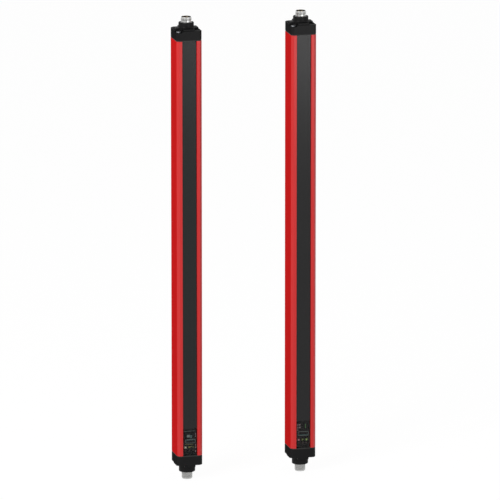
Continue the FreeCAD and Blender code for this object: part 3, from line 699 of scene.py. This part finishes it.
# Circuit boards: glass fibre laminate under green solder mask, with the faint relief of the
# copper traces. The main board stands in slots of the profile.
def solder_mask(wire):
    lying = wire.node("Mapping", {"Vector": object_place(wire), "Rotation": (math.pi / 2, 0, 0)})
    trace = wire.node("TexBrick", {"Vector": lying, "Scale": 1 / (8 * MM), "Mortar Size": 0.03},
                      output="Fac")
    weave = grain(wire, 0.5 * MM)
    return {
        "Base Color": (0.5 * trace + 0.3 * weave).blend(shade(0.006, 0.060, 0.022),
                                                        shade(0.020, 0.160, 0.060)),
        "Roughness": 0.30 + 0.15 * weave,
        "Normal": bumps(wire, trace, 0.03 * MM),
    }


board_mask = new_material("green_solder_mask", solder_mask)
for piece_name in ("circuit_board", "indicator_board", "connector_boards"):
    dress(piece_name, board_mask)


# Packages and headers: black epoxy with a sawn grain, soldered to the main board. The headers
# carry the small indicator board in front of it.
def black_epoxy(wire):
    sawn = grain(wire, 0.2 * MM, detail=2.0)
    return {
        "Base Color": sawn.blend(shade(0.014, 0.014, 0.015), shade(0.030, 0.030, 0.031)),
        "Roughness": 0.50 + 0.20 * sawn,
        "Normal": bumps(wire, sawn, 0.02 * MM),
    }


epoxy = new_material("black_epoxy", black_epoxy)
dress("control_chips", epoxy)
dress("board_header", epoxy)


# Flexible leads: amber film with copper tracks along it. One runs from each end of the main
# board to the round board of the connector there.
def amber_film(wire):
    tracks = wire.node("TexWave", {"Vector": object_place(wire), "Scale": 1 / (6 * MM)},
                       output="Fac", bands_direction="X")
    return {
        "Base Color": tracks.blend(shade(0.42, 0.15, 0.020), shade(0.62, 0.30, 0.06)),
        "Roughness": 0.28 + 0.10 * tracks,
        "Normal": bumps(wire, tracks, 0.02 * MM),
    }


dress("connector_leads", new_material("amber_film", amber_film))


# Optics carrier: a black moulding, matt so that no stray light gets from cell to cell. It lies
# between the window and the main board.
def matt_black(wire):
    dust = grain(wire, 1.2 * MM, detail=4.0)
    return {
        "Base Color": dust.blend(shade(0.008, 0.008, 0.008), shade(0.016, 0.016, 0.016)),
        "Roughness": 0.70 + 0.15 * dust,
        "Normal": bumps(wire, dust, 0.02 * MM),
    }


dress("optics_carrier", new_material("matt_carrier_plastic", matt_black))


# Lenses: deep red plastic that passes infrared, one before each beam. They are moulded singly
# and snapped into the carrier.
def lens_red(wire):
    swirl = grain(wire, 4 * MM, detail=2.0)
    return {
        "Base Color": swirl.blend(shade(0.16, 0.010, 0.018), shade(0.22, 0.018, 0.028)),
        "Roughness": 0.05 + 0.06 * swirl,
        "Normal": bumps(wire, swirl, 0.004 * MM),
    }


dress("lenses", new_material("infrared_lens_plastic", lens_red, IOR=1.49))


# Diodes: small packages of smoke-coloured epoxy, one behind each lens. They send the beams in the
# transmitter and catch them in the receiver.
def smoke_epoxy(wire):
    cloud = grain(wire, 0.8 * MM, detail=2.0)
    return {
        "Base Color": cloud.blend(shade(0.020, 0.016, 0.024), shade(0.050, 0.040, 0.056)),
        "Roughness": 0.12 + 0.12 * cloud,
    }


diode_epoxy = new_material("smoke_epoxy", smoke_epoxy)
dress("emitters", diode_epoxy, ("transmitter",))
dress("photodiodes", diode_epoxy, ("receiver",))


# Indicator area: a one-digit display and six lights on a small board behind the window's foot. A
# dark film masks them, and a clear moulding guides the light, with a colour for each column.
def display_face(wire):
    grime = grain(wire, 1.0 * MM, detail=2.0)
    return {
        "Base Color": grime.blend(shade(0.020, 0.022, 0.022), shade(0.045, 0.048, 0.047)),
        "Roughness": 0.22 + 0.15 * grime,
    }


dress("display_module", new_material("display_face", display_face))


def light_package(wire):
    cloud = grain(wire, 0.5 * MM, detail=1.0)
    return {
        "Base Color": cloud.blend(shade(0.55, 0.50, 0.30), shade(0.75, 0.70, 0.45)),
        "Roughness": 0.30 + 0.10 * cloud,
    }


dress("indicator_lights", new_material("light_package", light_package))


COLUMN_EDGE = 2.2 * MM
UPPER_ROW_FROM = 6.8 * MM
LOWER_ROW_GLOW = shade(0.030, 0.008, 0.006)
window_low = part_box("transmitter_window")[0].z


def guide_glow(bar, left_light, middle_light, right_light):
    """Clear plastic lit from behind, with a colour for each column of lights."""
    def fill(wire):
        across = along(wire, "X") - bar_middle[bar]
        on_right = wire.maths("GREATER_THAN", across, COLUMN_EDGE)
        on_left = wire.maths("LESS_THAN", across, -COLUMN_EDGE)
        upper = wire.maths("GREATER_THAN", along(wire, "Z"), window_low + UPPER_ROW_FROM)
        core = grain(wire, 1.2 * MM, detail=1.0)
        glow = on_left.blend(on_right.blend(middle_light, right_light), left_light)
        return {
            "Base Color": core.blend(shade(0.50, 0.52, 0.48), shade(0.72, 0.74, 0.70)),
            "Roughness": 0.15 + 0.10 * core,
            "Emission Color": (upper * (0.6 + 0.8 * core)).blend(LOWER_ROW_GLOW, glow),
        }
    return new_material(bar + "_light_guide", fill, Emission_Strength=2.2)


dress("light_guide", guide_glow("transmitter", shade(0.86, 0.82, 0.62), shade(0.28, 0.26, 0.05),
                                shade(0.10, 0.10, 0.02)), ("transmitter",))
dress("light_guide", guide_glow("receiver", shade(0.70, 0.30, 0.34), shade(0.22, 0.30, 0.08),
                                shade(0.42, 0.62, 0.16)), ("receiver",))


def mask_black(wire):
    dust = grain(wire, 1.0 * MM, detail=3.0)
    return {
        "Base Color": dust.blend(shade(0.034, 0.030, 0.028), shade(0.050, 0.044, 0.041)),
        "Roughness": 0.45 + 0.15 * dust,
    }


dress("indicator_mask", new_material("mask_film", mask_black))


# Print on the window beside the indicators: plain fields and outlines in pale screen ink, a few
# hundredths of a millimetre thick, and olive fields of painted glow where the lit lights shine. The
# ink shows where each light is and carries no words.
INK = 0.03 * MM
FIELD_CORNER = 0.15
INK_COLOURS = {
    "grey": (shade(0.075, 0.095, 0.088), shade(0.110, 0.135, 0.125)),
    "rose": (shade(0.110, 0.080, 0.088), shade(0.160, 0.120, 0.128)),
    "teal": (shade(0.014, 0.042, 0.040), shade(0.024, 0.060, 0.058)),
    # Painted glow: this olive colour stands in for the light of the lit lights spread on the
    # window.
    "olive_painted_glow": (shade(0.080, 0.075, 0.020), shade(0.130, 0.120, 0.035)),
    "green": (shade(0.035, 0.110, 0.030), shade(0.055, 0.150, 0.045)),
}


def ink_field(builder, left, right, low, high, corner, line=0.0):
    """Adds a field with round corners to the XZ plane; with a line width only its outline."""
    width, height = right - left, high - low
    place = (Matrix.Translation(((left + right) / 2, 0, (low + high) / 2))
             @ Matrix.Rotation(math.pi / 2, 4, "X") @ Matrix.Diagonal((width, height, 1, 1)))
    field = bmesh.ops.create_grid(builder, x_segments=1, y_segments=1, size=0.5, matrix=place)
    rounded = bmesh.ops.bevel(builder, geom=field["verts"], offset=corner, offset_type="OFFSET",
                              segments=4, profile=0.5, affect="VERTICES", material=-1)
    touching = [face for face in builder.faces if rounded["verts"][0] in face.verts]
    face = max(touching, key=lambda each: each.calc_area())
    if line:
        bmesh.ops.inset_region(builder, faces=[face], thickness=line, use_boundary=True,
                               use_even_offset=True)
        bmesh.ops.delete(builder, geom=[face], context="FACES_ONLY")


def print_on(bar, ink, fields):
    """One colour of ink on a bar's window.

    A field is left, right, low and high, in millimetres from the bar's middle and the window's
    foot, then if given the radius of its corners and the width of its line.
    """
    builder = bmesh.new()
    for left, right, low, high, *rest in fields:
        corner = rest[0] if rest else FIELD_CORNER
        line = rest[1] if len(rest) > 1 else 0.0
        ink_field(builder, left * MM, right * MM, low * MM, high * MM, corner * MM, line * MM)
    raised = bmesh.ops.extrude_face_region(builder, geom=builder.faces[:],
                                           use_keep_orig=True)["geom"]
    bmesh.ops.translate(builder, vec=(0, -INK, 0),
                        verts=[item for item in raised if isinstance(item, bmesh.types.BMVert)])
    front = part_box(bar + "_window")[0].y
    bmesh.ops.translate(builder, verts=builder.verts, vec=(bar_middle[bar], front, window_low))

    def fill(wire):
        mottle = grain(wire, 0.5 * MM, detail=2.0)
        return {
            "Base Color": mottle.blend(*INK_COLOURS[ink]),
            "Roughness": 0.42 + 0.15 * mottle,
            "Normal": bumps(wire, mottle, 0.008 * MM),
        }
    return finish_piece(builder, bar + "_print_" + ink, new_material(bar + "_ink_" + ink, fill),
                        smooth_angle=30.0)


print_on("transmitter", "grey", [
    (-6.6, 5.4, 27.2, 27.5, 0.05), (-3.4, -0.2, 20.3, 23.2, 0.3),
    (-5.0, 6.1, 13.7, 18.1, 1.0, 0.35),
])
print_on("transmitter", "teal", [(0.1, 2.3, 19.2, 22.8, 0.2), (-4.2, 5.4, 16.9, 17.5, 0.1)])
print_on("transmitter", "rose", [
    (5.9, 6.7, 22.8, 24.8), (5.9, 6.7, 20.2, 22.0), (5.9, 6.7, 10.6, 12.4), (5.9, 6.7, 7.9, 9.7),
    (5.9, 6.7, 3.4, 5.6),
])
# Painted glow: olive fields at the upper row of lights, standing in for their light on the window.
print_on("transmitter", "olive_painted_glow", [(-1.8, 2.4, 9.6, 10.2, 0.1), (-5.4, 3.6, 12.2, 12.6, 0.1)])
print_on("receiver", "rose", [
    (-6.5, -5.6, 24.6, 26.8), (-6.5, -5.6, 21.8, 23.8), (-6.5, -5.6, 19.2, 21.0),
    (-4.8, -3.0, 25.4, 26.8), (-4.8, -3.0, 22.4, 23.8),
])
print_on("receiver", "green", [(2.3, 2.9, 22.0, 26.5, 0.1)])
print_on("receiver", "grey", [(-5.8, 6.1, 13.6, 18.4, 1.0, 0.35)])
print_on("receiver", "teal", [(-5.0, 5.4, 14.3, 14.9, 0.1)])


# Studio: a white floor just under the lower connectors, an even surround, a broad lamp high on
# the left, a weaker one on the right, and a low strip that the windows mirror at their tops.
FLOOR_GAP = 0.2 * MM
FLOOR_HALF = 9.0
FLOOR_WHITE = 0.80
FLOOR_GLOW = 1.06
GLOW_SHARE = 0.90
SURROUND_LEVEL = 0.36
floor_height = cad_bounds[0][2] - FLOOR_GAP
floor_builder = bmesh.new()
bmesh.ops.create_grid(floor_builder, x_segments=2, y_segments=2, size=FLOOR_HALF,
                      matrix=Matrix.Translation((0, 0, floor_height)))
floor_mesh = bpy.data.meshes.new("floor")
floor_builder.to_mesh(floor_mesh)
floor_builder.free()
floor = bpy.data.objects.new("floor", floor_mesh)
bpy.context.scene.collection.objects.link(floor)


def white_to_viewer(wire):
    """1 for rays from the camera, off a glossy surface or through a clear one."""
    rays = [wire.node("LightPath", output=name) for name in
            ("Is Camera Ray", "Is Glossy Ray", "Is Transmission Ray")]
    return wire.maths("MAXIMUM", rays[0], wire.maths("MAXIMUM", rays[1], rays[2]))


floor_paint = bpy.data.materials.new("white_floor")
floor_paint.use_nodes = True
floor_tree = floor_paint.node_tree
floor_wire = Wire(floor_tree)
floor_tree.nodes.remove(floor_tree.nodes["Principled BSDF"])
matt = floor_wire.node("BsdfDiffuse", {"Color": shade(FLOOR_WHITE, FLOOR_WHITE, FLOOR_WHITE)})
glow = floor_wire.node("Emission", {"Color": shade(1.0, 1.0, 1.0), "Strength": FLOOR_GLOW})
glow_part = GLOW_SHARE * white_to_viewer(floor_wire)
mixed = floor_wire.node("MixShader", {0: glow_part, 1: matt, 2: glow})
floor_tree.links.new(mixed.output, floor_tree.nodes["Material Output"].inputs["Surface"])
floor_mesh.materials.append(floor_paint)

surround = bpy.data.worlds.new("surround")
surround.use_nodes = True
world_tree = surround.node_tree
world_wire = Wire(world_tree)
strength = SURROUND_LEVEL + (1 - SURROUND_LEVEL) * white_to_viewer(world_wire)
world_tree.links.new(strength.output, world_tree.nodes["Background"].inputs["Strength"])
world_tree.nodes["Background"].inputs["Color"].default_value = shade(1.0, 1.0, 1.0)
bpy.context.scene.world = surround


def soft_lamp(name, azimuth, elevation, distance, size, power, seen=True):
    """A square area lamp that faces the pair, with its angles in degrees and power in watts."""
    lamp = bpy.data.lights.new(name, "AREA")
    lamp.size = size
    lamp.energy = power
    holder = bpy.data.objects.new(name, lamp)
    bpy.context.scene.collection.objects.link(holder)
    away = direction_from(azimuth, elevation)
    holder.location = away * distance
    holder.rotation_euler = away.to_track_quat("Z", "Y").to_euler()
    holder.visible_camera = seen
    return holder


soft_lamp("key_lamp", azimuth=-50, elevation=24, distance=2.4, size=1.1, power=34.0)
soft_lamp("fill_lamp", azimuth=50, elevation=14, distance=2.6, size=0.5, power=3.5)
low_strip = soft_lamp("low_strip", azimuth=21, elevation=3.5, distance=1.0, size=0.34,
                      power=0.62, seen=False)
low_strip.data.shape = "RECTANGLE"
low_strip.data.size_y = 0.16

bpy.context.scene.view_settings.view_transform = "Standard"
